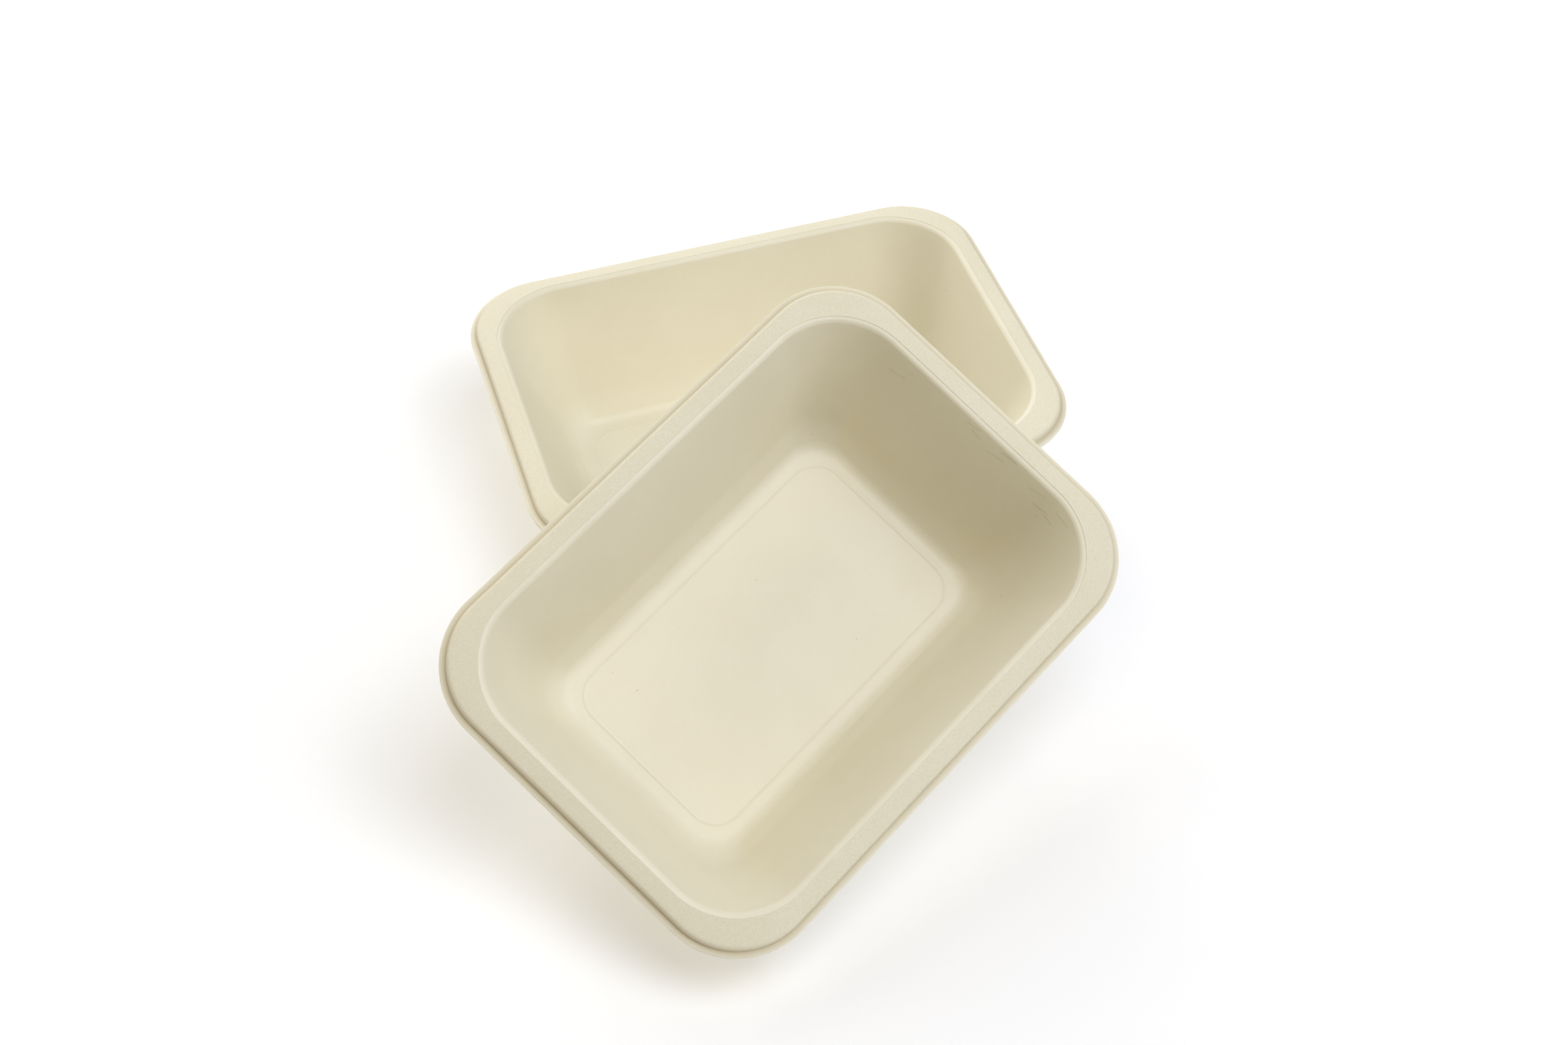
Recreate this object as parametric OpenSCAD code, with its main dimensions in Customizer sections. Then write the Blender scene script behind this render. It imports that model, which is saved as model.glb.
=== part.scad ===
// Stack of two moulded fibre meat trays: one lies flat, the other leans on its rim.
// Both come off one mould. Each is a single sheet of pressed pulp of even thickness,
// so a tray is one closed skin, lofted from its section round a rounded rectangle.
// Sizes are in millimetres. The origin is the middle of the flat tray's base.

/* [Tray] */
// Overall length of a tray, over its lip
tray_l = 187; // [140:1:260]
// Overall width of a tray, over its lip
tray_w = 137; // [110:1:200]
// Overall height of a tray, from its base to the top of its rim
tray_h = 50; // [30:1:80]
// Thickness of the pressed fibre
sheet_t = 1.0; // [0.6:0.1:1.4]

/* [Rim] */
// Corner radius of the lip, seen from above
lip_corner_r = 27; // [22:0.5:34]
// Width of the low lip outside the rim's step
lip_w = 1.9; // [1:0.1:4]
// Height of the rim's step above the lip
step_h = 2.9; // [2.2:0.1:6]
// Lean of the step's face from upright, in degrees
step_lean = 12; // [2:1:25]
// Rounding from the lip into the step's face
step_foot_r = 0.4; // [0.2:0.05:0.6]
// Rounding from the step's face to the flat land
shoulder_r = 1.5; // [1.2:0.1:2]
// Width of the flat land that the film is sealed to
land_w = 4.5; // [2:0.1:9]
// Fall of the land outwards, in degrees, which lets the rim spring flat under the film
land_fall = 8; // [0:0.5:12]
// Corner radius of the land's inner edge
land_corner_r = 26.9; // [20:0.1:32]
// Depth of the small drop at the land's inner edge
crease_h = 0.35; // [0.1:0.05:0.7]
// Run of the small drop at the land's inner edge
crease_w = 0.15; // [0.05:0.05:0.4]
// Width of the smooth band between the crease and the mouth's rounding
band_w = 0.5; // [0.2:0.05:2]
// Fall of that band towards the well, in degrees
band_fall = 18; // [2:1:25]
// Rounding from the band into the wall
mouth_r = 3.0; // [1.6:0.1:5]

/* [Well] */
// Draft of the walls from upright, in degrees
draft = 22.3; // [12:0.5:26]
// Rounding between the walls and the floor, inside
heel_r = 8.5; // [5:0.5:12]
// Corner radius at the top of the heel's rounding
heel_corner_r = 13; // [9:0.5:18]
// Corner radius of the flat floor's edge
floor_corner_r = 10.3; // [6:0.1:14]

/* [Stacking bead] */
// Length of the bead along the foot of each long wall
bead_l = 111; // [60:1:114]
// How far the bead stands in from the wall
bead_h = 0.8; // [0.2:0.1:1.2]
// Half of the bead's width over its curve
bead_half_w = 3; // [2:0.1:3.5]
// Middle of the bead, measured along the section from the top of the heel's rounding
bead_at = 1.4; // [0:0.1:2]
// Length over which each end of the bead fades into the wall
bead_fade = 6; // [3:0.5:12]

/* [Leaning tray] */
// Turn of the leaning tray in its own plane, in degrees
lean_turn = 30.7; // [15:0.1:50]
// How far the leaning tray's middle stands out from the flat tray's lip
lean_out = 36; // [28:0.5:42]
// How far the leaning tray's middle stands to the left of the flat tray's middle
lean_left = 32.3; // [0:0.1:45]
// Clearance between the leaning tray's underside and the rim that it rests on
rest_gap = 0.3; // [0.1:0.05:0.6]

/* [Resolution] */
// Steps in a quarter turn of a corner
corner_steps = 10; // [6:1:16]
// Steps in the rounding at the foot of the rim's step
foot_steps = 2; // [2:1:6]
// Steps in each larger rounding of the rim
rim_steps = 4; // [3:1:8]
// Steps across the bead
bead_steps = 8; // [6:2:12]
// Steps in the rest of the heel's rounding
heel_steps = 4; // [3:1:8]

/* [Hidden] */

// The fibre is a warm, unbleached cream.
fibre_colour = [0.90, 0.87, 0.77];

// A section point is [inset from the lip's edge, height, corner radius in plan].
// The top face of the sheet is drawn from the lip's edge inwards to the floor.
// The shoulder's rounding is tangent to the step's face and to the land.
lip_top = tray_h - step_h;
shoulder_z = tray_h - land_w*tan(land_fall) - shoulder_r*cos(land_fall);
shoulder_in = lip_w + (shoulder_z + shoulder_r*sin(step_lean) - lip_top)*tan(step_lean)
    + shoulder_r*cos(step_lean);
land_outer = shoulder_in - shoulder_r*sin(land_fall);
land_inner = land_outer + land_w;

// Inside the land the corners are concentric with its inner edge down to the wall.
function mouth_corner(inset) = land_corner_r - (inset - land_inner);

foot_in = lip_w - step_foot_r*(1 - sin(step_lean))/cos(step_lean);
lip_section = [
    [0, lip_top, lip_corner_r],
    for (k = [0:foot_steps])
        let (a = -90 + k*(90 - step_lean)/foot_steps,
             inset = foot_in + step_foot_r*cos(a))
        [inset, lip_top + step_foot_r*(1 + sin(a)), lip_corner_r - inset]
];

shoulder_section = [
    for (k = [0:rim_steps])
        let (a = 180 - step_lean - k*(90 - step_lean - land_fall)/rim_steps,
             inset = shoulder_in + shoulder_r*cos(a))
        [inset, shoulder_z + shoulder_r*sin(a), lip_corner_r - inset]
];

crease_in = land_inner + crease_w;
crease_section = [
    [land_inner, tray_h, land_corner_r],
    [crease_in, tray_h - crease_h, mouth_corner(crease_in)]
];

// The band falls gently, then the mouth's rounding turns it down into the wall.
band_end = crease_in + band_w;
band_end_z = tray_h - crease_h - band_w*tan(band_fall);
mouth_axis = [band_end - mouth_r*sin(band_fall), band_end_z - mouth_r*cos(band_fall)];
mouth_section = [
    for (k = [0:rim_steps])
        let (a = 90 - band_fall - k*(90 - band_fall - draft)/rim_steps,
             inset = mouth_axis[0] + mouth_r*cos(a))
        [inset, mouth_axis[1] + mouth_r*sin(a), mouth_corner(inset)]
];
wall_top = mouth_section[rim_steps];

// The heel's rounding is tangent to the drafted wall and to the floor.
floor_top = sheet_t;
wall_foot = wall_top[0] + (wall_top[1] - floor_top)*tan(draft);
heel_turn = 90 - draft;
floor_edge = wall_foot + heel_r*tan(heel_turn/2);
heel_length = heel_r*heel_turn*PI/180;
heel_top = [floor_edge - heel_r*cos(draft), floor_top + heel_r*(1 - sin(draft))];

// Point of the section at a distance along it below the heel's top, with its normal.
function heel_at(s) =
    s < 0
    ? [heel_top[0] + s*sin(draft), heel_top[1] - s*cos(draft), cos(draft), sin(draft)]
    : let (a = draft + s/heel_r*180/PI)
      [floor_edge - heel_r*cos(a), floor_top + heel_r*(1 - sin(a)), cos(a), sin(a)];

// Corner radius at that point: it opens steadily up the wall and down the heel.
function heel_corner(s) =
    s < 0
    ? heel_corner_r - s*cos(draft)*(wall_top[2] - heel_corner_r)/(wall_top[1] - heel_top[1])
    : heel_corner_r + (floor_corner_r - heel_corner_r)*s/heel_length;

function bead_swell(s) =
    abs(s - bead_at) >= bead_half_w ? 0 : bead_h*(1 + cos(180*(s - bead_at)/bead_half_w))/2;

bead_start = bead_at - bead_half_w;
bead_end = bead_at + bead_half_w;
heel_places = concat(
    [for (k = [0:bead_steps]) bead_start + k*(bead_end - bead_start)/bead_steps],
    [for (k = [1:heel_steps]) bead_end + k*(heel_length - bead_end)/heel_steps]
);

// swell is 0 for the plain section and 1 for the one with the stacking bead.
function heel_section(swell) = [
    for (s = heel_places)
        let (p = heel_at(s), d = swell*bead_swell(s))
        [p[0] + d*p[2], p[1] + d*p[3], heel_corner(s)]
];

function top_section(swell) = concat(
    lip_section, shoulder_section, crease_section, mouth_section, heel_section(swell)
);

// The underside is the top face moved down by the sheet's thickness, square to it.
function segment_normal(p, q) =
    let (d = [q[0] - p[0], q[1] - p[1]]) [-d[1], d[0]]/norm(d);
function vertex_shift(section, k) =
    let (last = len(section) - 1,
         n1 = segment_normal(section[max(k - 1, 0)], section[max(k, 1)]),
         n2 = k == last ? [0, 1] : segment_normal(section[k], section[k + 1]))
    sheet_t*(n1 + n2)/(1 + n1*n2);
function under_section(section) = [
    for (k = [0:len(section) - 1])
        let (p = section[k], m = vertex_shift(section, k))
        [p[0] - m[0], p[1] - m[1], p[2] + m[0]]
];

// The skin runs from the floor's top face out to the lip and back underneath.
function reversed(list) = [for (k = [len(list) - 1:-1:0]) list[k]];
function skin_section(swell) =
    let (top = top_section(swell)) concat(reversed(top), under_section(top));

// Share of the bead at a distance along the tray from its middle.
function bead_share(x) =
    let (t = min(max((bead_l/2 - abs(x))/bead_fade, 0), 1)) t*t*(3 - 2*t);

// A ring of points round the tray for one section point: four corners, with two more
// points on each long side, where the bead begins to fade.
function corner_points(cx, cy, r, from) =
    [for (k = [0:corner_steps]) let (a = from + 90*k/corner_steps) [cx + r*cos(a), cy + r*sin(a)]];
function outline(section_point) =
    let (r = section_point[2],
         cx = tray_l/2 - section_point[0] - r,
         cy = tray_w/2 - section_point[0] - r,
         side = cy + r,
         extra = cx - bead_fade/2)
    concat(
        corner_points(cx, cy, r, 0),
        [[extra, side], [-extra, side]],
        corner_points(-cx, cy, r, 90),
        corner_points(-cx, -cy, r, 180),
        [[-extra, -side], [extra, -side]],
        corner_points(cx, -cy, r, 270)
    );
ring_points = 4*(corner_steps + 1) + 4;

// Only points on the long sides and the parts of the corners that face the same way
// take the bead, so that the bead dies out before the short walls.
function ring(plain, beaded) =
    let (a = outline(plain), b = outline(beaded))
    [for (k = [0:ring_points - 1])
        let (t = bead_share(a[k][0]))
        [a[k][0] + t*(b[k][0] - a[k][0]),
         a[k][1] + t*(b[k][1] - a[k][1]),
         plain[1] + t*(beaded[1] - plain[1])]];

plain_skin = skin_section(0);
beaded_skin = skin_section(1);
ring_count = len(plain_skin);

module tray() {
    points = [for (k = [0:ring_count - 1]) each ring(plain_skin[k], beaded_skin[k])];
    sides = [
        for (k = [0:ring_count - 2], j = [0:ring_points - 1])
            let (a = k*ring_points + j,
                 b = k*ring_points + (j + 1)%ring_points,
                 c = a + ring_points,
                 d = b + ring_points)
            each [[a, b, d], [a, d, c]]
    ];
    floor_face = [for (j = [ring_points - 1:-1:0]) j];
    base_face = [for (j = [0:ring_points - 1]) (ring_count - 1)*ring_points + j];
    polyhedron(points = points, faces = concat([floor_face], sides, [base_face]), convexity = 6);
}

// Where the leaning tray rests: its foot is on the table and its underside on the rim.
// How far its middle stands above its foot, when it is tilted.
function foot_drop(tilt) = max([
    for (p = under_section(heel_section(0)))
        let (r = p[2],
             reach = (tray_l/2 - p[0] - r)*abs(sin(lean_turn))
                 + (tray_w/2 - p[0] - r)*cos(lean_turn) + r)
        reach*sin(tilt) - p[1]*cos(tilt)
]);

// How far the flat tray's rim reaches up square to the tilted underside.
function rim_reach(tilt) = max([
    for (p = concat(lip_section, shoulder_section, crease_section))
        (tray_w/2 - p[0])*sin(tilt) + p[1]*cos(tilt)
]);

lean_y = -(tray_w/2 + lean_out);
function underside_gap(tilt) =
    foot_drop(tilt)*cos(tilt) - lean_y*sin(tilt) - rim_reach(tilt) - rest_gap;

// The tilt at which that gap is nought, found by halving.
function rest_tilt(low, high, steps) =
    let (middle = (low + high)/2)
    steps == 0 ? middle
    : underside_gap(middle) > 0 ? rest_tilt(low, middle, steps - 1)
    : rest_tilt(middle, high, steps - 1);

lean_tilt = rest_tilt(0, 75, 40);
lean_z = foot_drop(lean_tilt);

module lower_tray() {
    color(fibre_colour) tray();
}

module upper_tray() {
    color(fibre_colour)
    translate([-lean_left, lean_y, lean_z])
    rotate([lean_tilt, 0, 0])
    rotate([0, 0, lean_turn])
    tray();
}

lower_tray();
upper_tray();
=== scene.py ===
# %% [markdown]
# # A stack of pressed-fibre meat trays
# The object is two open trays. Each was pressed from wet plant fibre between two heated halves
# of a mould, so it is one sheet of even thickness with soft bends, a faint grain and a cut edge.
# One tray lies flat, and the other leans on its rim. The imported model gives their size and
# place. This script gives them their true skin: a smooth loft with every fold rounded, the slight
# warp of dried pulp, the ragged cut of the lip, and a material with fibres in it.

# %% Load the frame
import math
import bpy
import numpy as np
from mathutils import Matrix, Vector


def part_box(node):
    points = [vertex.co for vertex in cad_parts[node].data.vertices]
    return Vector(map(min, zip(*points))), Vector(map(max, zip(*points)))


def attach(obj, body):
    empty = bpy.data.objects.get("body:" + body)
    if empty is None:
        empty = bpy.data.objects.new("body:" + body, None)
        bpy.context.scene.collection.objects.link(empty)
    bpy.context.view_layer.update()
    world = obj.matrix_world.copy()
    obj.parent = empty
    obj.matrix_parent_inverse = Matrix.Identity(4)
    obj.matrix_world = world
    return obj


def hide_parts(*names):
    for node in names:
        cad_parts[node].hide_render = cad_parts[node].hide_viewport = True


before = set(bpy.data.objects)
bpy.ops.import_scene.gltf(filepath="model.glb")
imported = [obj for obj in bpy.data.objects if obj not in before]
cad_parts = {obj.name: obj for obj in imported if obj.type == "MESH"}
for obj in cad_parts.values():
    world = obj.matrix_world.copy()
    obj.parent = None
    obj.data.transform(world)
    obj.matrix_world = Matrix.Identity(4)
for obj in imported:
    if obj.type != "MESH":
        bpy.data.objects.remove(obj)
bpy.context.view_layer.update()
print("nodes:", sorted(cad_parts))


def mm(value):
    """A length in metres from one in millimetres."""
    return value/1000


# %% [markdown]
# ## The camera
# The photograph was taken from above and slightly to the left. A camera is easiest to keep in
# order as a place, a point that it looks at, a roll and a lens. The picture is 2353 pixels wide
# and 1568 high, and the lens is for a sensor 36 mm wide. Nothing here is shifted or blurred.

# %% Place the camera
CAMERA_PLACE = Vector((mm(-170.1), mm(-557.6), mm(581.7)))
CAMERA_TARGET = Vector((mm(-14.4), mm(-67.3), mm(40.0)))
CAMERA_ROLL = math.radians(-0.49)
LENS = 52.39
SENSOR = 36.0


def place_camera():
    data = bpy.data.cameras.new("camera")
    data.lens = LENS
    data.sensor_width = SENSOR
    data.sensor_fit = "HORIZONTAL"
    camera = bpy.data.objects.new("camera", data)
    bpy.context.scene.collection.objects.link(camera)
    look = (CAMERA_TARGET - CAMERA_PLACE).to_track_quat("-Z", "Y").to_matrix().to_4x4()
    camera.matrix_world = Matrix.Translation(CAMERA_PLACE) @ look @ Matrix.Rotation(CAMERA_ROLL, 4, "Z")
    bpy.context.scene.camera = camera
    return camera


camera = place_camera()
print("camera is", round((CAMERA_TARGET - CAMERA_PLACE).length, 3), "m from what it looks at")

# %% [markdown]
# ## The section of a tray
# A pressed tray has the same section all the way round, so it is drawn once: how far in from
# the lip's edge, and how high. Drawn as a path of straight stretches, it has one fold for each
# bend of the sheet, and each fold has its own rounding. From the edge inwards they are the low
# lip, the step up to the flat land that the film is sealed to, the small drop at the land's
# inner edge, the turn into the wall, the wall and the heel above the floor. The heel has two
# folds, because it bends softly at the foot of the wall and more tightly next to the floor.
# HEEL_R is the one even rounding that comes closest to both. It gives the bead and the corner
# radii their places.

# %% Sizes of the section
low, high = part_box("lower_tray")
TRAY_L, TRAY_W, TRAY_H = high - low
SHEET = mm(1.0)
LIP_W = mm(1.9)
LIP_FALL = math.radians(9)
STEP_H = mm(2.9)
STEP_LEAN = math.radians(12)
LAND_W = mm(4.5)
LAND_FALL = math.radians(8)
CREASE_H = mm(0.2)
CREASE_W = mm(0.15)
BAND_W = mm(0.62)
BAND_FALL = math.radians(10)
DRAFT = math.radians(22.3)
HEEL_R = mm(8.5)
HEEL_UP = mm(5.6)
HEEL_IN = mm(2.43)
HEEL_SOFT_R = mm(26.9)
HEEL_TIGHT_R = mm(5.2)
SHOULDER_R = mm(1.5)
MOUTH_R = mm(1.8)
STEP_FOOT_R = mm(0.12)
CREASE_R = mm(0.12)
EDGE_R = mm(0.22)

lip_top = TRAY_H - STEP_H
edge_top = lip_top - (LIP_W - EDGE_R)*math.tan(LIP_FALL)
shoulder_run = SHOULDER_R*math.tan((math.pi/2 - STEP_LEAN - LAND_FALL)/2)*math.cos(LAND_FALL)
step_top_z = TRAY_H - (LAND_W + shoulder_run)*math.tan(LAND_FALL)
step_top = LIP_W + (step_top_z - lip_top)*math.tan(STEP_LEAN)
land_outer = step_top + shoulder_run
land_inner = land_outer + LAND_W
crease_in = land_inner + CREASE_W
mouth_tangent = MOUTH_R*math.tan((math.pi/2 - BAND_FALL - DRAFT)/2)
mouth_in = crease_in + BAND_W + mouth_tangent*math.cos(BAND_FALL)
mouth_z = TRAY_H - CREASE_H - BAND_W*math.tan(BAND_FALL) - mouth_tangent*math.sin(BAND_FALL)
wall_foot = mouth_in + (mouth_z - SHEET)*math.tan(DRAFT)
heel_tangent = HEEL_R*math.tan((math.pi/2 - DRAFT)/2)
heel_top_in = wall_foot - heel_tangent*math.sin(DRAFT)
heel_top_z = SHEET + heel_tangent*math.cos(DRAFT)
floor_edge = wall_foot + heel_tangent
print("tray, mm:", [round(v*1000, 1) for v in (TRAY_L, TRAY_W, TRAY_H)],
      "floor edge, mm in from the lip:", round(floor_edge*1000, 2))

# %% [markdown]
# A fold is rounded by an arc that touches both stretches. The path keeps the direction square to
# the sheet at each point, because the underside, the bead and the corner radii need it.

# %% Round the folds of a path
ARC_TURN = math.radians(7)
STRETCH = mm(2.2)


def turned(vector, angle):
    c, s = math.cos(angle), math.sin(angle)
    return np.array([c*vector[0] - s*vector[1], s*vector[0] + c*vector[1]])


def directions(points):
    """Unit directions of the stretches of a path."""
    steps = np.diff(np.array(points), axis=0)
    return steps/np.linalg.norm(steps, axis=1)[:, None]


def trace(points, radii):
    """Rows of (inset, height, normal in, normal up) along a path whose inner folds are rounded."""
    points = [np.array(p, float) for p in points]
    ways = directions(points)
    rows = []

    def run(start, end, way):
        count = max(int(np.ceil(np.linalg.norm(end - start)/STRETCH)), 1)
        for k in range(count + 1):
            rows.append((*(start + (end - start)*k/count), -way[1], way[0]))

    start = points[0]
    for fold, radius, way, next_way in zip(points[1:-1], radii, ways[:-1], ways[1:]):
        turn = math.atan2(way[0]*next_way[1] - way[1]*next_way[0], way @ next_way)
        tangent = radius*math.tan(abs(turn)/2)
        arc_start = fold - way*tangent
        run(start, arc_start, way)
        side = math.copysign(radius, turn)
        normal = turned(way, math.pi/2)
        centre = arc_start + normal*side
        steps = max(int(np.ceil(abs(turn)/ARC_TURN)), 2)
        for k in range(1, steps):
            n = turned(normal, turn*k/steps)
            rows.append((*(centre - n*side), *n))
        start = fold + next_way*tangent
    run(start, points[-1], ways[-1])
    return np.array(rows)


def offset(points, depth):
    """The same folds on the sheet's other face."""
    normals = np.array([turned(way, math.pi/2) for way in directions(points)])
    first, last = normals[:1], normals[-1:]
    before = np.vstack([first, normals])
    after = np.vstack([normals, last])
    mitre = (before + after)/(1 + np.sum(before*after, axis=1))[:, None]
    return np.array(points) - depth*mitre


# %% [markdown]
# ## Top face and underside
# The underside is the same path moved down by the sheet's thickness. A fold that is hollow from
# above is wider underneath by that thickness, and one that is round from above is tighter.
# The lip's cut edge joins the two, with its corners just broken.

# %% Trace both faces
MOULD_LINE_IN = mm(1.6)
MOULD_LINE_W = mm(0.16)
MOULD_LINE_H = mm(0.07)
FLOOR_LAST = mm(4.0)

folds = [(EDGE_R, edge_top), (LIP_W, lip_top), (step_top, step_top_z), (land_inner, TRAY_H),
         (crease_in, TRAY_H - CREASE_H), (mouth_in, mouth_z),
         (wall_foot - HEEL_UP*math.sin(DRAFT), SHEET + HEEL_UP*math.cos(DRAFT)),
         (wall_foot + HEEL_IN, SHEET), (floor_edge + FLOOR_LAST, SHEET)]
fold_radii = [STEP_FOOT_R, SHOULDER_R, CREASE_R, CREASE_R, MOUTH_R, HEEL_SOFT_R, HEEL_TIGHT_R]
hollow = [1, -1, -1, 1, -1, 1, 1]
top_path = trace(folds, fold_radii)
under_radii = [max(r + h*SHEET, CREASE_R/2) for r, h in zip(fold_radii, hollow)]
under_path = trace(offset(folds, SHEET), under_radii)
print("points along the top face:", len(top_path), "and along the underside:", len(under_path))


def raise_mould_line(path):
    """The joint between two pieces of the mould leaves a fine raised line on the floor."""
    line = floor_edge + MOULD_LINE_IN
    marks = [line - MOULD_LINE_W, line - MOULD_LINE_W/2, line, line + MOULD_LINE_W/2, line + MOULD_LINE_W]
    lifts = [0, 0.7, 1, 0.7, 0]
    rows = [(m, SHEET + MOULD_LINE_H*lift, 0, 1) for m, lift in zip(marks, lifts)]
    outside = path[path[:, 0] < marks[0] - MOULD_LINE_W]
    inside = path[path[:, 0] > marks[-1] + MOULD_LINE_W]
    return np.vstack([outside, rows, inside])


top_path = raise_mould_line(top_path)

# %% [markdown]
# ## Corners and the stacking bead
# Seen from above, every line of the tray is a rounded rectangle, but the corner radius changes on
# the way in. The land is wider at the corners than along the sides, and the well narrows to a
# smaller radius at the floor. At the foot of the two long walls a soft bead stands in, which
# keeps nested trays from jamming. It is a swelling of the section, kept beside the plain one.

# %% Corner radius and bead
BEAD_H = mm(0.4)
BEAD_HALF_W = mm(3.0)
BEAD_AT = mm(1.4)
BEAD_L = mm(111)
BEAD_FADE = mm(6)

corner_insets = [0, land_outer, land_inner, mouth_in, heel_top_in, floor_edge, floor_edge + FLOOR_LAST]
corner_radii = [mm(27), mm(27) - land_outer, mm(26.9), mm(24.9), mm(13), mm(10.3), mm(9.0)]


def section_table(path, depth):
    """Rows of inset, corner radius, height, then the bead's shift of each of the three."""
    top = path[:, :2] + path[:, 2:]*depth
    radius = np.interp(top[:, 0], corner_insets, corner_radii)
    radius = radius + top[:, 0] - path[:, 0]
    centre = np.array([floor_edge, SHEET + HEEL_R])
    angle = np.arctan2(centre[1] - top[:, 1], centre[0] - top[:, 0])
    along = np.where(top[:, 1] > heel_top_z, (heel_top_z - top[:, 1])/math.cos(DRAFT),
                     HEEL_R*(angle - DRAFT))
    share = np.clip((along - BEAD_AT)/BEAD_HALF_W, -1, 1)
    swell = BEAD_H*(1 + np.cos(np.pi*share))/2
    return np.column_stack([path[:, 0], radius, path[:, 1],
                            swell*path[:, 2], 0*swell, swell*path[:, 3]])


top_table = section_table(top_path, 0)
under_table = section_table(under_path, SHEET)

# %% [markdown]
# The floor closes with rings that shrink towards the middle, one set for each face, so that it can
# warp like the rest. The whole skin is then one list of rings: from the middle of the floor out
# to the lip, round the cut edge, and back underneath to the middle of the base. Each ring has
# marks for what the material and the warp must know: whether it is on the inside, at the ragged
# edge or on the land, and how much painted shade darkens the face of the rim's step.

# %% Join the faces into one skin
FLOOR_RINGS = 12
CUT_TURNS = 4
RAGGED_W = mm(0.5)
STEP_BEFORE = mm(0.15)
STEP_AFTER = mm(0.2)
# Painted shade on the face of the rim's step: how dark it is at the foot, and how much of that fades towards
# the top.
STEP_FOOT_SHADE = 0.75
STEP_SHADE_FADE = 0.6


def cut_edge():
    """The lip's edge, where the sheet was trimmed: two broken corners and an upright face."""
    rows = []
    for centre_z, first in ((edge_top - EDGE_R, 90), (edge_top - SHEET + EDGE_R, 180)):
        for k in range(CUT_TURNS + 1):
            a = math.radians(first + 90*k/CUT_TURNS)
            inset = EDGE_R*(1 + math.cos(a))
            rows.append((inset, corner_radii[0] - inset, centre_z + EDGE_R*math.sin(a), 0, 0, 0))
    return np.array(rows)


def floor_rings(row):
    """Copies of a floor ring, with the share of its size that each keeps."""
    shares = [1 - (k + 1)/FLOOR_RINGS for k in range(FLOOR_RINGS)]
    return np.tile(row, (FLOOR_RINGS, 1)), shares


top_floor, shares = floor_rings(top_table[-1])
under_floor, _ = floor_rings(under_table[-1])
edge = cut_edge()
skin = np.vstack([top_floor[::-1], top_table[::-1], edge, under_table, under_floor])
spread = np.array(shares[::-1] + [1]*(len(top_table) + len(edge) + len(under_table)) + shares)
inner_count = len(top_floor) + len(top_table)
inside = np.array([1]*inner_count + [0]*(len(skin) - inner_count))
ragged = np.where(skin[:, 0] < RAGGED_W, 1.0, 0.0)
# The face of the rim's step gets painted shade, darkest at its foot and fading towards the land.
up_step = np.clip((skin[:, 2] - lip_top)/(step_top_z - lip_top), 0, 1)
on_step = (inside > 0) & (skin[:, 0] > LIP_W - STEP_BEFORE) & (skin[:, 0] < step_top + STEP_AFTER)
dense = np.where(on_step, STEP_FOOT_SHADE - STEP_SHADE_FADE*up_step, 0.0)
on_land = (inside > 0) & (skin[:, 0] > step_top) & (skin[:, 0] < land_inner + CREASE_W/2)
land = np.where(on_land, 1.0, 0.0)
print("rings in the skin of a tray:", len(skin))

# %% [markdown]
# ## The plan of a tray
# A point of a rounded rectangle is a share of the way to its corner's centre, plus the corner's
# radius in the direction that the point faces. On a straight side only the share changes, and
# in a corner only the direction. Kept like this, one list of points serves every ring.

# %% List the points of the plan
CORNER_STEPS = 18
LONG_STEPS = 56
SHORT_STEPS = 36
QUARTERS = [(1, 1, LONG_STEPS), (-1, 1, SHORT_STEPS), (-1, -1, LONG_STEPS), (1, -1, SHORT_STEPS)]


def plan_table():
    """Rows of share x, share y, facing x, facing y, anticlockwise and closed."""
    rows = []
    for k, (sx, sy, steps) in enumerate(QUARTERS):
        for j in range(CORNER_STEPS + 1):
            a = math.radians(90*(k + j/CORNER_STEPS))
            rows.append((sx, sy, math.cos(a), math.sin(a)))
        nx, ny, _ = QUARTERS[(k + 1) % 4]
        a = math.radians(90*(k + 1))
        for j in range(1, steps):
            rows.append((sx + (nx - sx)*j/steps, sy + (ny - sy)*j/steps, math.cos(a), math.sin(a)))
    return np.array(rows + rows[:1])


plan = plan_table()
print("points in each ring:", len(plan) - 1)

# %% [markdown]
# ## Points that Geometry Nodes can read
# Geometry Nodes can look up any point of another object by its number. So the section and
# the plan each become a small mesh of loose points, and what doesn't fit in a place is kept as a
# named attribute. Both are taken away once the trays are made.

# %% Make the lookup objects


def points_object(name, places, attributes):
    mesh = bpy.data.meshes.new(name)
    mesh.from_pydata([tuple(p) for p in places], [], [])
    for key, (kind, values) in attributes.items():
        layer = mesh.attributes.new(key, kind, "POINT")
        layer.data.foreach_set("vector" if kind == "FLOAT_VECTOR" else "value", np.ravel(values))
    thing = bpy.data.objects.new(name, mesh)
    bpy.context.scene.collection.objects.link(thing)
    return thing


ring_marks = {"spread": spread, "ragged": ragged, "inside": inside, "dense": dense, "land": land}
section_points = points_object("section_points", skin[:, :3], {
    "swell": ("FLOAT_VECTOR", skin[:, 3:]),
    **{key: ("FLOAT", values) for key, values in ring_marks.items()}})
plan_points = points_object("plan_points", np.column_stack([plan[:, :2], np.zeros(len(plan))]), {
    "facing": ("FLOAT_VECTOR", np.column_stack([plan[:, 2:], np.zeros(len(plan))]))})

# %% [markdown]
# ## A few helpers for node trees
# A node tree is easier to read when each line adds one node and names what feeds it.
# A value that is a socket is linked, and anything else is set on the input.

# %% Helpers for node trees


def add(tree, kind, feeds=(), **settings):
    """Add a node, set its properties, and feed its inputs, given by name or by number."""
    node = tree.nodes.new(kind)
    for key, value in settings.items():
        setattr(node, key, value)
    for key, value in dict(feeds).items():
        if isinstance(value, bpy.types.NodeSocket):
            tree.links.new(value, node.inputs[key])
        else:
            node.inputs[key].default_value = value
    return node


def maths(tree, operation, *values):
    return add(tree, "ShaderNodeMath", dict(enumerate(values)), operation=operation).outputs[0]


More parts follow.
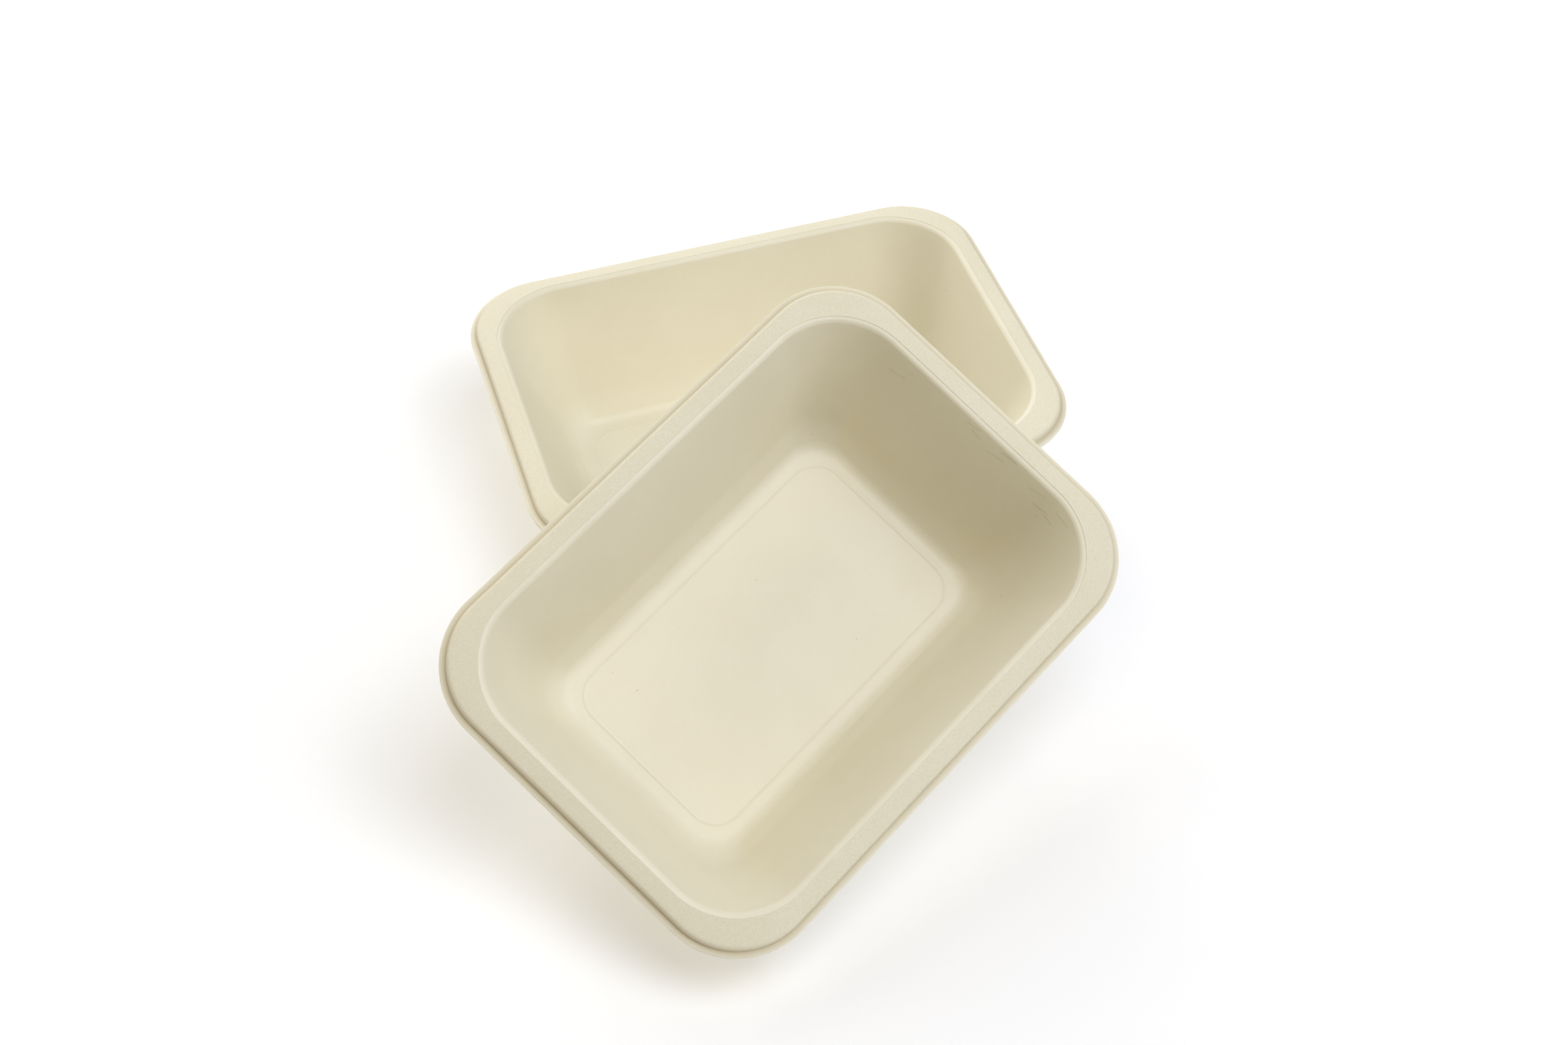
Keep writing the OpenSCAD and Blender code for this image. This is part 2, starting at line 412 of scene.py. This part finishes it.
def vectors(tree, operation, *values):
    return add(tree, "ShaderNodeVectorMath", dict(enumerate(values)), operation=operation).outputs[0]


def scaled(tree, vector, factor):
    node = add(tree, "ShaderNodeVectorMath", {"Vector": vector, "Scale": factor}, operation="SCALE")
    return node.outputs["Vector"]


def vector_of(tree, x, y, z):
    return add(tree, "ShaderNodeCombineXYZ", {"X": x, "Y": y, "Z": z}).outputs[0]


def parts_of(tree, vector):
    return add(tree, "ShaderNodeSeparateXYZ", {"Vector": vector}).outputs


def named(tree, key, kind):
    return add(tree, "GeometryNodeInputNamedAttribute", {"Name": key}, data_type=kind).outputs["Attribute"]


def group_input(tree, name, kind, value=None):
    socket = tree.interface.new_socket(name, in_out="INPUT", socket_type=kind)
    if value is not None:
        socket.default_value = value
    return socket.identifier


def mesh_from_tree(name, tree, values):
    """Run a geometry tree on an empty object and return what it makes as a plain mesh."""
    host = bpy.data.objects.new(name, bpy.data.meshes.new(name))
    bpy.context.scene.collection.objects.link(host)
    modifier = host.modifiers.new(name, "NODES")
    modifier.node_group = tree
    for key, value in values.items():
        modifier[key] = value
    graph = bpy.context.evaluated_depsgraph_get()
    made = bpy.data.meshes.new_from_object(host.evaluated_get(graph))
    host.modifiers.clear()
    bpy.data.objects.remove(host)
    return made


# %% [markdown]
# ## The loft, as a Geometry Nodes tree
# The tree starts from a flat grid with one row for each ring and one column for each point of
# the plan. Each point looks up its row in the section and its column in the plan, and moves to
# where the two rules put it. Dried pulp is never quite true, so two noises move the sheet
# a little: a slow one warps it, and a quick one frays the cut edge. The last steps close the
# seam and the two poles and give the sheet its material.

# %% Build the tree of the pressed sheet
# Marks that the material reads; the second is the painted shade on the rim's step.
MATERIAL_MARKS = ("inside", "dense", "land")
MERGE_WITHIN = mm(0.004)
NOISE_DETAIL = 2.0


def sampled(tree, geometry, kind, value, index):
    node = add(tree, "GeometryNodeSampleIndex", {"Geometry": geometry, "Value": value, "Index": index},
               data_type=kind, domain="POINT")
    return node.outputs["Value"]


def noise_shift(tree, place, size, seed, amount):
    """A shift by up to amount in any direction, which changes over about the given size."""
    noise = add(tree, "ShaderNodeTexNoise",
                {"Vector": place, "W": seed, "Scale": maths(tree, "DIVIDE", 1.0, size),
                 "Detail": NOISE_DETAIL},
                noise_dimensions="4D")
    centred = vectors(tree, "SUBTRACT", noise.outputs["Color"], (0.5, 0.5, 0.5))
    return scaled(tree, centred, maths(tree, "MULTIPLY", amount, 2.0))


def sheet_tree():
    tree = bpy.data.node_groups.new("pressed_sheet", "GeometryNodeTree")
    keys = {}
    for name, kind, value in (
            ("Section", "NodeSocketObject", None), ("Plan", "NodeSocketObject", None),
            ("Length", "NodeSocketFloat", TRAY_L), ("Width", "NodeSocketFloat", TRAY_W),
            ("Bead length", "NodeSocketFloat", BEAD_L), ("Bead fade", "NodeSocketFloat", BEAD_FADE),
            ("Warp", "NodeSocketFloat", 0.0), ("Warp size", "NodeSocketFloat", mm(45)),
            ("Fray", "NodeSocketFloat", 0.0), ("Fray size", "NodeSocketFloat", mm(1.5)),
            ("Seed", "NodeSocketFloat", 0.0), ("Material", "NodeSocketMaterial", None)):
        keys[name] = group_input(tree, name, kind, value)
    tree.interface.new_socket("Geometry", in_out="OUTPUT", socket_type="NodeSocketGeometry")
    given = tree.nodes.new("NodeGroupInput").outputs

    section = add(tree, "GeometryNodeObjectInfo", {"Object": given["Section"]}).outputs["Geometry"]
    points = add(tree, "GeometryNodeObjectInfo", {"Object": given["Plan"]}).outputs["Geometry"]
    rings = add(tree, "GeometryNodeAttributeDomainSize", {"Geometry": section}).outputs["Point Count"]
    columns = add(tree, "GeometryNodeAttributeDomainSize", {"Geometry": points}).outputs["Point Count"]
    grid = add(tree, "GeometryNodeMeshGrid", {"Vertices X": rings, "Vertices Y": columns})
    number = add(tree, "GeometryNodeInputIndex").outputs["Index"]
    row = add(tree, "FunctionNodeIntegerMath", {0: number, 1: columns}, operation="DIVIDE_FLOOR").outputs[0]
    column = add(tree, "FunctionNodeIntegerMath", {0: number, 1: columns}, operation="MODULO").outputs[0]

    position = add(tree, "GeometryNodeInputPosition").outputs[0]
    inset, radius, height = parts_of(tree, sampled(tree, section, "FLOAT_VECTOR", position, row))
    swell = sampled(tree, section, "FLOAT_VECTOR", named(tree, "swell", "FLOAT_VECTOR"), row)
    mark = {key: sampled(tree, section, "FLOAT", named(tree, key, "FLOAT"), row) for key in ring_marks}
    share = sampled(tree, points, "FLOAT_VECTOR", position, column)
    facing = sampled(tree, points, "FLOAT_VECTOR", named(tree, "facing", "FLOAT_VECTOR"), column)

    half_l = maths(tree, "DIVIDE", given["Length"], 2.0)
    half_w = maths(tree, "DIVIDE", given["Width"], 2.0)
    taken = maths(tree, "ADD", inset, radius)
    reach = vector_of(tree, maths(tree, "SUBTRACT", half_l, taken), maths(tree, "SUBTRACT", half_w, taken), 0.0)
    flat = vectors(tree, "ADD", vectors(tree, "MULTIPLY", share, reach), scaled(tree, facing, radius))

    bead_end = maths(tree, "DIVIDE", given["Bead length"], 2.0)
    along = maths(tree, "ABSOLUTE", parts_of(tree, flat)["X"])
    bead = add(tree, "ShaderNodeMapRange",
               {"Value": along, "From Min": bead_end,
                "From Max": maths(tree, "SUBTRACT", bead_end, given["Bead fade"])},
               interpolation_type="SMOOTHSTEP").outputs["Result"]
    swell_in, _, swell_up = parts_of(tree, scaled(tree, swell, bead))
    inward = scaled(tree, share, maths(tree, "MULTIPLY", swell_in, -1.0))
    shaped = scaled(tree, vectors(tree, "ADD", flat, inward), mark["spread"])
    rise = vector_of(tree, 0.0, 0.0, maths(tree, "ADD", height, swell_up))
    true_place = vectors(tree, "ADD", shaped, rise)

    warp = noise_shift(tree, true_place, given["Warp size"], given["Seed"], given["Warp"])
    fray = noise_shift(tree, true_place, given["Fray size"], given["Seed"],
                       maths(tree, "MULTIPLY", given["Fray"], mark["ragged"]))
    place = vectors(tree, "ADD", true_place, vectors(tree, "ADD", warp, fray))

    stored = grid.outputs["Mesh"]
    for_material = [("mould_place", "FLOAT_VECTOR", true_place)]
    for_material += [(key, "FLOAT", mark[key]) for key in MATERIAL_MARKS]
    for key, kind, value in for_material:
        stored = add(tree, "GeometryNodeStoreNamedAttribute",
                     {"Geometry": stored, "Name": key, "Value": value},
                     data_type=kind, domain="POINT").outputs["Geometry"]
    moved = add(tree, "GeometryNodeSetPosition", {"Geometry": stored, "Position": place})
    closed = add(tree, "GeometryNodeMergeByDistance",
                 {"Geometry": moved.outputs["Geometry"], "Distance": MERGE_WITHIN})
    smooth = add(tree, "GeometryNodeSetShadeSmooth", {"Geometry": closed.outputs["Geometry"]})
    finished = add(tree, "GeometryNodeSetMaterial",
                   {"Geometry": smooth.outputs["Geometry"], "Material": given["Material"]})
    add(tree, "NodeGroupOutput", {"Geometry": finished.outputs["Geometry"]})
    return tree, keys


pressed_sheet, sheet_keys = sheet_tree()
print("nodes in the tree of the pressed sheet:", len(pressed_sheet.nodes))

# %% [markdown]
# ## The fibre
# Pressed pulp is matte and warm. Close up it has a fine grain with faint streaks, soft darker
# and lighter clouds where the pulp settled, and a few brown specks of bark or husk. The film's
# land is rougher and looks sandy, and the underside shows the cells of the screen that the pulp
# was drawn onto. The face of the rim's step is darkened with painted shade, most at its foot. The
# marks of the rings say where each of these is, and the grain comes from noises on the sheet's own
# coordinates. The colour stays close to one cream, because a real tray looks even from a step
# away.

# %% Make the fibre material
CREAM = (0.815, 0.772, 0.617, 1)
CREAM_DARK = (0.795, 0.748, 0.588, 1)
SANDY = (0.66, 0.60, 0.41, 1)
# Colour of the painted shade on the rim's step.
PAINTED_STEP_SHADE = (0.55, 0.475, 0.30, 1)
SPECK = (0.20, 0.14, 0.08, 1)
CLOUDS_PER_M = 35.0
STREAKS_PER_M = 160.0
GRAINS_PER_M = 900.0
SAND_PER_M = 2600.0
SPECKS_PER_M = 130.0
SCREEN_PER_M = 1500.0
SAND_TINT = 0.4
SPECK_TINT = 0.45
PLAIN_ROUGH = 0.40
GRAIN_ROUGH = 0.12
LAND_ROUGH = 0.22
GRAIN_RELIEF = 0.6
STREAK_RELIEF = 0.4
SAND_RELIEF = 0.6
SCREEN_RELIEF = 0.8
RELIEF = mm(0.08)


def colour_mix(tree, factor, a, b, blend="MIX"):
    node = add(tree, "ShaderNodeMix", {"Factor": factor}, data_type="RGBA", blend_type=blend)
    for slot, value in ((6, a), (7, b)):
        if isinstance(value, bpy.types.NodeSocket):
            tree.links.new(value, node.inputs[slot])
        else:
            node.inputs[slot].default_value = value
    return node.outputs[2]


def noise(tree, place, scale, detail=3.0, roughness=0.55):
    return add(tree, "ShaderNodeTexNoise",
               {"Vector": place, "Scale": scale, "Detail": detail, "Roughness": roughness}).outputs["Fac"]


def band(tree, value, low, high):
    """0 below low, 1 above high, and a soft rise between."""
    return add(tree, "ShaderNodeMapRange", {"Value": value, "From Min": low, "From Max": high},
               interpolation_type="SMOOTHSTEP").outputs["Result"]


def fibre_material():
    material = bpy.data.materials.new("moulded_fibre")
    material.use_nodes = True
    tree = material.node_tree
    shader = tree.nodes["Principled BSDF"]
    place = add(tree, "ShaderNodeAttribute", attribute_name="mould_place").outputs["Vector"]
    face, shade_on_step, on_land = (add(tree, "ShaderNodeAttribute", attribute_name=key).outputs["Fac"]
                             for key in MATERIAL_MARKS)

    clouds = band(tree, noise(tree, place, CLOUDS_PER_M), 0.35, 0.68)
    grain = noise(tree, place, GRAINS_PER_M, 4.0, 0.65)
    sand = noise(tree, place, SAND_PER_M, 2.0, 0.6)
    stretched = add(tree, "ShaderNodeMapping", {"Vector": place, "Scale": (1.0, 7.0, 7.0)}).outputs["Vector"]
    streaks = noise(tree, stretched, STREAKS_PER_M, 3.0, 0.6)
    tone = maths(tree, "MULTIPLY_ADD", clouds, 0.3, maths(tree, "MULTIPLY", grain, 0.5))
    tone = maths(tree, "MULTIPLY_ADD", streaks, 0.2, tone)
    base = colour_mix(tree, band(tree, tone, 0.25, 0.75), CREAM_DARK, CREAM)
    sandy = maths(tree, "MULTIPLY", on_land, band(tree, sand, 0.62, 0.40))
    base = colour_mix(tree, maths(tree, "MULTIPLY", sandy, SAND_TINT), base, SANDY)
    # Painted shade darkens the face of the rim's step.
    base = colour_mix(tree, shade_on_step, base, PAINTED_STEP_SHADE)

    cells = add(tree, "ShaderNodeTexVoronoi", {"Vector": place, "Scale": SPECKS_PER_M, "Randomness": 1.0})
    lot = add(tree, "ShaderNodeSeparateColor", {"Color": cells.outputs["Color"]}).outputs["Red"]
    chosen = band(tree, lot, 0.965, 0.97)
    dot = band(tree, cells.outputs["Distance"], 0.05, 0.02)
    speck = maths(tree, "MULTIPLY", maths(tree, "MULTIPLY", chosen, dot), SPECK_TINT)
    colour = colour_mix(tree, speck, base, SPECK)
    tree.links.new(colour, shader.inputs["Base Color"])
    rough = maths(tree, "MULTIPLY_ADD", grain, GRAIN_ROUGH, PLAIN_ROUGH)
    tree.links.new(maths(tree, "MULTIPLY_ADD", on_land, LAND_ROUGH, rough), shader.inputs["Roughness"])
    shader.inputs["Specular IOR Level"].default_value = 0.5

    screen = add(tree, "ShaderNodeTexVoronoi", {"Vector": place, "Scale": SCREEN_PER_M, "Randomness": 0.3})
    outside = maths(tree, "SUBTRACT", 1.0, face)
    pressed = maths(tree, "MULTIPLY", screen.outputs["Distance"], outside)
    rubbed = maths(tree, "MULTIPLY", sand, on_land)
    relief = maths(tree, "MULTIPLY_ADD", grain, GRAIN_RELIEF, maths(tree, "MULTIPLY", streaks, STREAK_RELIEF))
    relief = maths(tree, "ADD", relief, maths(tree, "MULTIPLY", rubbed, SAND_RELIEF))
    relief = maths(tree, "ADD", relief, maths(tree, "MULTIPLY", pressed, SCREEN_RELIEF))
    bump = add(tree, "ShaderNodeBump", {"Strength": 0.35, "Distance": RELIEF, "Height": relief})
    tree.links.new(bump.outputs["Normal"], shader.inputs["Normal"])
    return material


fibre = fibre_material()
print("material:", fibre.name)

# %% [markdown]
# ## Stray hairs
# A few dark bits of husk always stay in the pulp. The long ones show as hairs that lie in the
# surface. Painted on, they would blur close up, so they are real threads. A second tree scatters
# points inside a box, gives each a short curve that faces along the sheet, bends it, and
# drops it onto the sheet before it becomes a thin tube.

# %% Build the tree of the hairs
HUSK = (0.23, 0.17, 0.09, 1)
HAIR_POINTS = 9
HAIR_SIDES = 5
HAIR_TAPER = 0.85
BEND_SIZE = mm(2.5)
BEND_SEED = 5.0


def husk_material():
    material = bpy.data.materials.new("husk_fibre")
    material.use_nodes = True
    tree = material.node_tree
    shader = tree.nodes["Principled BSDF"]
    place = add(tree, "ShaderNodeTexCoord").outputs["Object"]
    pale = band(tree, noise(tree, place, 90.0), 0.4, 0.6)
    tree.links.new(colour_mix(tree, pale, HUSK, SANDY), shader.inputs["Base Color"])
    shader.inputs["Roughness"].default_value = 0.75
    return material


def hair_tree():
    tree = bpy.data.node_groups.new("stray_hairs", "GeometryNodeTree")
    keys = {}
    for name, kind, value in (
            ("Sheet", "NodeSocketObject", None), ("Low", "NodeSocketVector", None),
            ("High", "NodeSocketVector", None), ("Density", "NodeSocketFloat", 0.0),
            ("Spin", "NodeSocketFloat", 0.0), ("Shortest", "NodeSocketFloat", mm(1)),
            ("Longest", "NodeSocketFloat", mm(4)), ("Thickness", "NodeSocketFloat", mm(0.08)),
            ("Bend", "NodeSocketFloat", mm(0.5)), ("Seed", "NodeSocketInt", 0),
            ("Material", "NodeSocketMaterial", None)):
        keys[name] = group_input(tree, name, kind, value)
    tree.interface.new_socket("Geometry", in_out="OUTPUT", socket_type="NodeSocketGeometry")
    given = tree.nodes.new("NodeGroupInput").outputs

    sheet = add(tree, "GeometryNodeObjectInfo", {"Object": given["Sheet"]}).outputs["Geometry"]
    position = add(tree, "GeometryNodeInputPosition").outputs[0]
    above = parts_of(tree, vectors(tree, "SUBTRACT", position, given["Low"]))
    below = parts_of(tree, vectors(tree, "SUBTRACT", given["High"], position))
    chosen = maths(tree, "GREATER_THAN", named(tree, "inside", "FLOAT"), 0.5)
    for room in (*above, *below):
        chosen = maths(tree, "MULTIPLY", chosen, maths(tree, "GREATER_THAN", room, 0.0))
    scattered = add(tree, "GeometryNodeDistributePointsOnFaces",
                    {"Mesh": sheet, "Selection": chosen, "Density": given["Density"], "Seed": given["Seed"]})
    angle = add(tree, "FunctionNodeRandomValue",
                {"Min": maths(tree, "MULTIPLY", given["Spin"], -1.0), "Max": given["Spin"],
                 "Seed": given["Seed"]}, data_type="FLOAT").outputs["Value"]
    spin = add(tree, "FunctionNodeAxisAngleToRotation", {"Axis": (0.0, 0.0, 1.0), "Angle": angle})
    facing = add(tree, "FunctionNodeRotateRotation",
                 {"Rotation": scattered.outputs["Rotation"], "Rotate By": spin.outputs[0]},
                 rotation_space="LOCAL")
    length = add(tree, "FunctionNodeRandomValue",
                 {"Min": given["Shortest"], "Max": given["Longest"], "Seed": given["Seed"]},
                 data_type="FLOAT").outputs["Value"]
    line = add(tree, "GeometryNodeCurvePrimitiveLine", {"Start": (-0.5, 0.0, 0.0), "End": (0.5, 0.0, 0.0)})
    stroke = add(tree, "GeometryNodeResampleCurve", {"Curve": line.outputs["Curve"], "Count": HAIR_POINTS})
    laid = add(tree, "GeometryNodeInstanceOnPoints",
               {"Points": scattered.outputs["Points"], "Instance": stroke.outputs["Curve"],
                "Rotation": facing.outputs[0], "Scale": vector_of(tree, length, length, length)})
    strokes = add(tree, "GeometryNodeRealizeInstances", {"Geometry": laid.outputs["Instances"]})
    bend = noise_shift(tree, position, BEND_SIZE, BEND_SEED, given["Bend"])
    bent = add(tree, "GeometryNodeSetPosition", {"Geometry": strokes.outputs["Geometry"], "Offset": bend})
    nearest = add(tree, "GeometryNodeProximity", {"Geometry": sheet}, target_element="FACES")
    dropped = add(tree, "GeometryNodeSetPosition",
                  {"Geometry": bent.outputs["Geometry"], "Position": nearest.outputs["Position"]})
    along = add(tree, "GeometryNodeSplineParameter").outputs["Factor"]
    from_middle = maths(tree, "ABSOLUTE", maths(tree, "MULTIPLY_ADD", along, 2*HAIR_TAPER, -HAIR_TAPER))
    taper = maths(tree, "SUBTRACT", 1.0, from_middle)
    profile = add(tree, "GeometryNodeCurvePrimitiveCircle",
                  {"Resolution": HAIR_SIDES, "Radius": maths(tree, "DIVIDE", given["Thickness"], 2.0)})
    sized = add(tree, "GeometryNodeSetCurveRadius", {"Curve": dropped.outputs["Geometry"], "Radius": taper})
    tube = add(tree, "GeometryNodeCurveToMesh",
               {"Curve": sized.outputs["Curve"], "Profile Curve": profile.outputs["Curve"], "Fill Caps": True})
    finished = add(tree, "GeometryNodeSetMaterial",
                   {"Geometry": tube.outputs["Mesh"], "Material": given["Material"]})
    add(tree, "NodeGroupOutput", {"Geometry": finished.outputs["Geometry"]})
    return tree, keys


husk = husk_material()
stray_hairs, hair_keys = hair_tree()
print("nodes in the tree of the hairs:", len(stray_hairs.nodes))

# %% [markdown]
# ## The trays
# Both trays come out of one mould, so one tree makes both, with another seed for each one's warp.
# Hairs lie anywhere, and the leaning tray has a row of longer ones just under the mouth of
# one short wall, all nearly level.

# %% Press the two trays and lay the hairs
WARP = mm(0.10)
FRAY = mm(0.10)
HAIRS_PER_M2 = 450
MOUTH_HAIRS_PER_M2 = 22000
HALF_L = TRAY_L/2
HALF_W = TRAY_W/2
ANYWHERE = ((-HALF_L, -HALF_W, 0.0), (HALF_L, HALF_W, TRAY_H - mm(0.6)))
UNDER_MOUTH = ((HALF_L - mm(14), mm(-42), TRAY_H - mm(9)), (HALF_L - mm(10), mm(34), TRAY_H - mm(2.5)))


def made_by(name, tree, keys, values):
    mesh = mesh_from_tree(name, tree, {keys[key]: value for key, value in values.items()})
    piece = bpy.data.objects.new(name, mesh)
    bpy.context.scene.collection.objects.link(piece)
    return piece


def press_tray(name, seed):
    return made_by(name, pressed_sheet, sheet_keys,
                   {"Section": section_points, "Plan": plan_points, "Warp": WARP, "Fray": FRAY,
                    "Seed": seed, "Material": fibre})


def lay_hairs(name, sheet, where, density, spin, shortest, longest, seed):
    """Hairs on the sheet's upper face, at the given number for each square metre."""
    return made_by(name, stray_hairs, hair_keys,
                   {"Sheet": sheet, "Low": where[0], "High": where[1], "Density": density,
                    "Spin": spin, "Shortest": shortest, "Longest": longest, "Seed": seed,
                    "Material": husk})


lower = press_tray("lower_tray_sheet", 3.0)
upper = press_tray("upper_tray_sheet", 11.0)
lower_hairs = lay_hairs("lower_tray_hairs", lower, ANYWHERE, HAIRS_PER_M2, math.pi, mm(0.3), mm(1.5), 4)
upper_hairs = lay_hairs("upper_tray_hairs", upper, ANYWHERE, HAIRS_PER_M2, math.pi, mm(0.3), mm(1.5), 9)
mouth_hairs = lay_hairs("upper_tray_mouth_hairs", upper, UNDER_MOUTH, MOUTH_HAIRS_PER_M2,
                        math.radians(16), mm(2), mm(7), 2)
print("triangles in a tray:", sum(len(p.vertices) - 2 for p in upper.data.polygons))
print("hairs:", [len(h.data.vertices)//(HAIR_POINTS*HAIR_SIDES)
                 for h in (lower_hairs, upper_hairs, mouth_hairs)])

# %% [markdown]
# ## The lean
# The lower tray stays where it is made. The upper one is turned in its own plane and then
# tilted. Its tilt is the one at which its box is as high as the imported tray's, and its place
# is where the two boxes meet, so the frame decides both. Its hairs go with it.

# %% Lean the upper tray
LEAN_TURN = math.radians(30.7)
STEEPEST = math.radians(50)
TILT_TRIES = 40


def places_of(thing):
    places = np.empty(len(thing.data.vertices)*3)
    thing.data.vertices.foreach_get("co", places)
    return places.reshape(-1, 3)


def leaning(tilt):
    return Matrix.Rotation(tilt, 4, "X") @ Matrix.Rotation(LEAN_TURN, 4, "Z")


def height_when_tilted(places, tilt):
    heights = places @ np.array(leaning(tilt))[2, :3]
    return heights.max() - heights.min()


def find_tilt(places, wanted):
    """The tilt at which the tray is as high as wanted, by halving."""
    flat, steep = 0.0, STEEPEST
    for _ in range(TILT_TRIES):
        middle = (flat + steep)/2
        if height_when_tilted(places, middle) < wanted:
            flat = middle
        else:
            steep = middle
    return middle


upper_low, upper_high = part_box("upper_tray")
tilt = find_tilt(places_of(upper), (upper_high - upper_low).z)
leaned = places_of(upper) @ np.array(leaning(tilt))[:3, :3].T
lean = Matrix.Translation(upper_low - Vector(leaned.min(axis=0))) @ leaning(tilt)
for piece in (upper, upper_hairs, mouth_hairs):
    piece.data.transform(lean)
print("tilt of the leaning tray, degrees:", round(math.degrees(tilt), 2))

for piece in (lower, upper, lower_hairs, upper_hairs, mouth_hairs):
    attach(piece, "root")
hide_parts("lower_tray")
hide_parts("upper_tray")

bpy.data.objects.remove(section_points)
bpy.data.objects.remove(plan_points)

# %% [markdown]
# ## Floor, light and picture
# The trays stand on a plain white table that runs out of sight. The light is soft and comes from
# above the camera and from behind, and weaker lights on all sides fill the shadows. Each light is
# a name, an azimuth, a height, a power in watts and a colour. The picture is shown as it is, with
# no film look, so that white stays white.

# %% Set the floor and the light
FLOOR_SIZE = 3.0
LIGHT_SIZE = 1.2
LIGHT_FAR = 2.0
LIT_POINT = Vector((0, mm(-50), 0))
TABLE = (0.80, 0.80, 0.81, 1)
TABLE_GLOW = 0.22
LIGHTS = [
    ("above the camera", 300, 70, 14.2, (0.95, 1.0, 1.16)),
    ("back", 90, 20, 12.8, (1.03, 1.0, 0.94)),
    ("back left", 135, 20, 10.5, (1.0, 1.0, 1.0)),
    ("front right", 318, 50, 10.2, (1.0, 1.0, 1.0)),
    ("back and high", 90, 50, 6.1, (1.0, 1.0, 1.0)),
    ("front right and low", 315, 20, 5.3, (1.03, 1.0, 0.94)),
    ("back left and high", 135, 50, 4.2, (1.0, 1.0, 1.0)),
    ("right", 15, 38, 3.4, (1.0, 1.0, 1.0)),
    ("front left", 215, 50, 4.8, (1.25, 1.0, 0.45))]


def plain_floor():
    mesh = bpy.data.meshes.new("floor")
    s = FLOOR_SIZE
    mesh.from_pydata([(-s, -s, 0), (s, -s, 0), (s, s, 0), (-s, s, 0)], [], [(0, 1, 2, 3)])
    floor = bpy.data.objects.new("floor", mesh)
    bpy.context.scene.collection.objects.link(floor)
    material = bpy.data.materials.new("table")
    material.use_nodes = True
    shader = material.node_tree.nodes["Principled BSDF"]
    shader.inputs["Base Color"].default_value = TABLE
    shader.inputs["Roughness"].default_value = 0.9
    shader.inputs["Emission Color"].default_value = (1, 1, 1, 1)
    shader.inputs["Emission Strength"].default_value = TABLE_GLOW
    mesh.materials.append(material)


def soft_light(name, azimuth, height, power, colour):
    """A large soft disk. Azimuth is from +X towards +Y and height from the table, in degrees."""
    a = math.radians(azimuth)
    h = math.radians(height)
    away = Vector((math.cos(h)*math.cos(a), math.cos(h)*math.sin(a), math.sin(h)))
    data = bpy.data.lights.new(name, "AREA")
    data.shape = "DISK"
    data.size = LIGHT_SIZE
    data.energy = power
    data.color = colour
    light = bpy.data.objects.new(name, data)
    bpy.context.scene.collection.objects.link(light)
    place = LIT_POINT + away*LIGHT_FAR
    light.matrix_world = Matrix.Translation(place) @ away.to_track_quat("Z", "Y").to_matrix().to_4x4()


plain_floor()
for light in LIGHTS:
    soft_light(*light)
bpy.context.scene.view_settings.view_transform = "Standard"
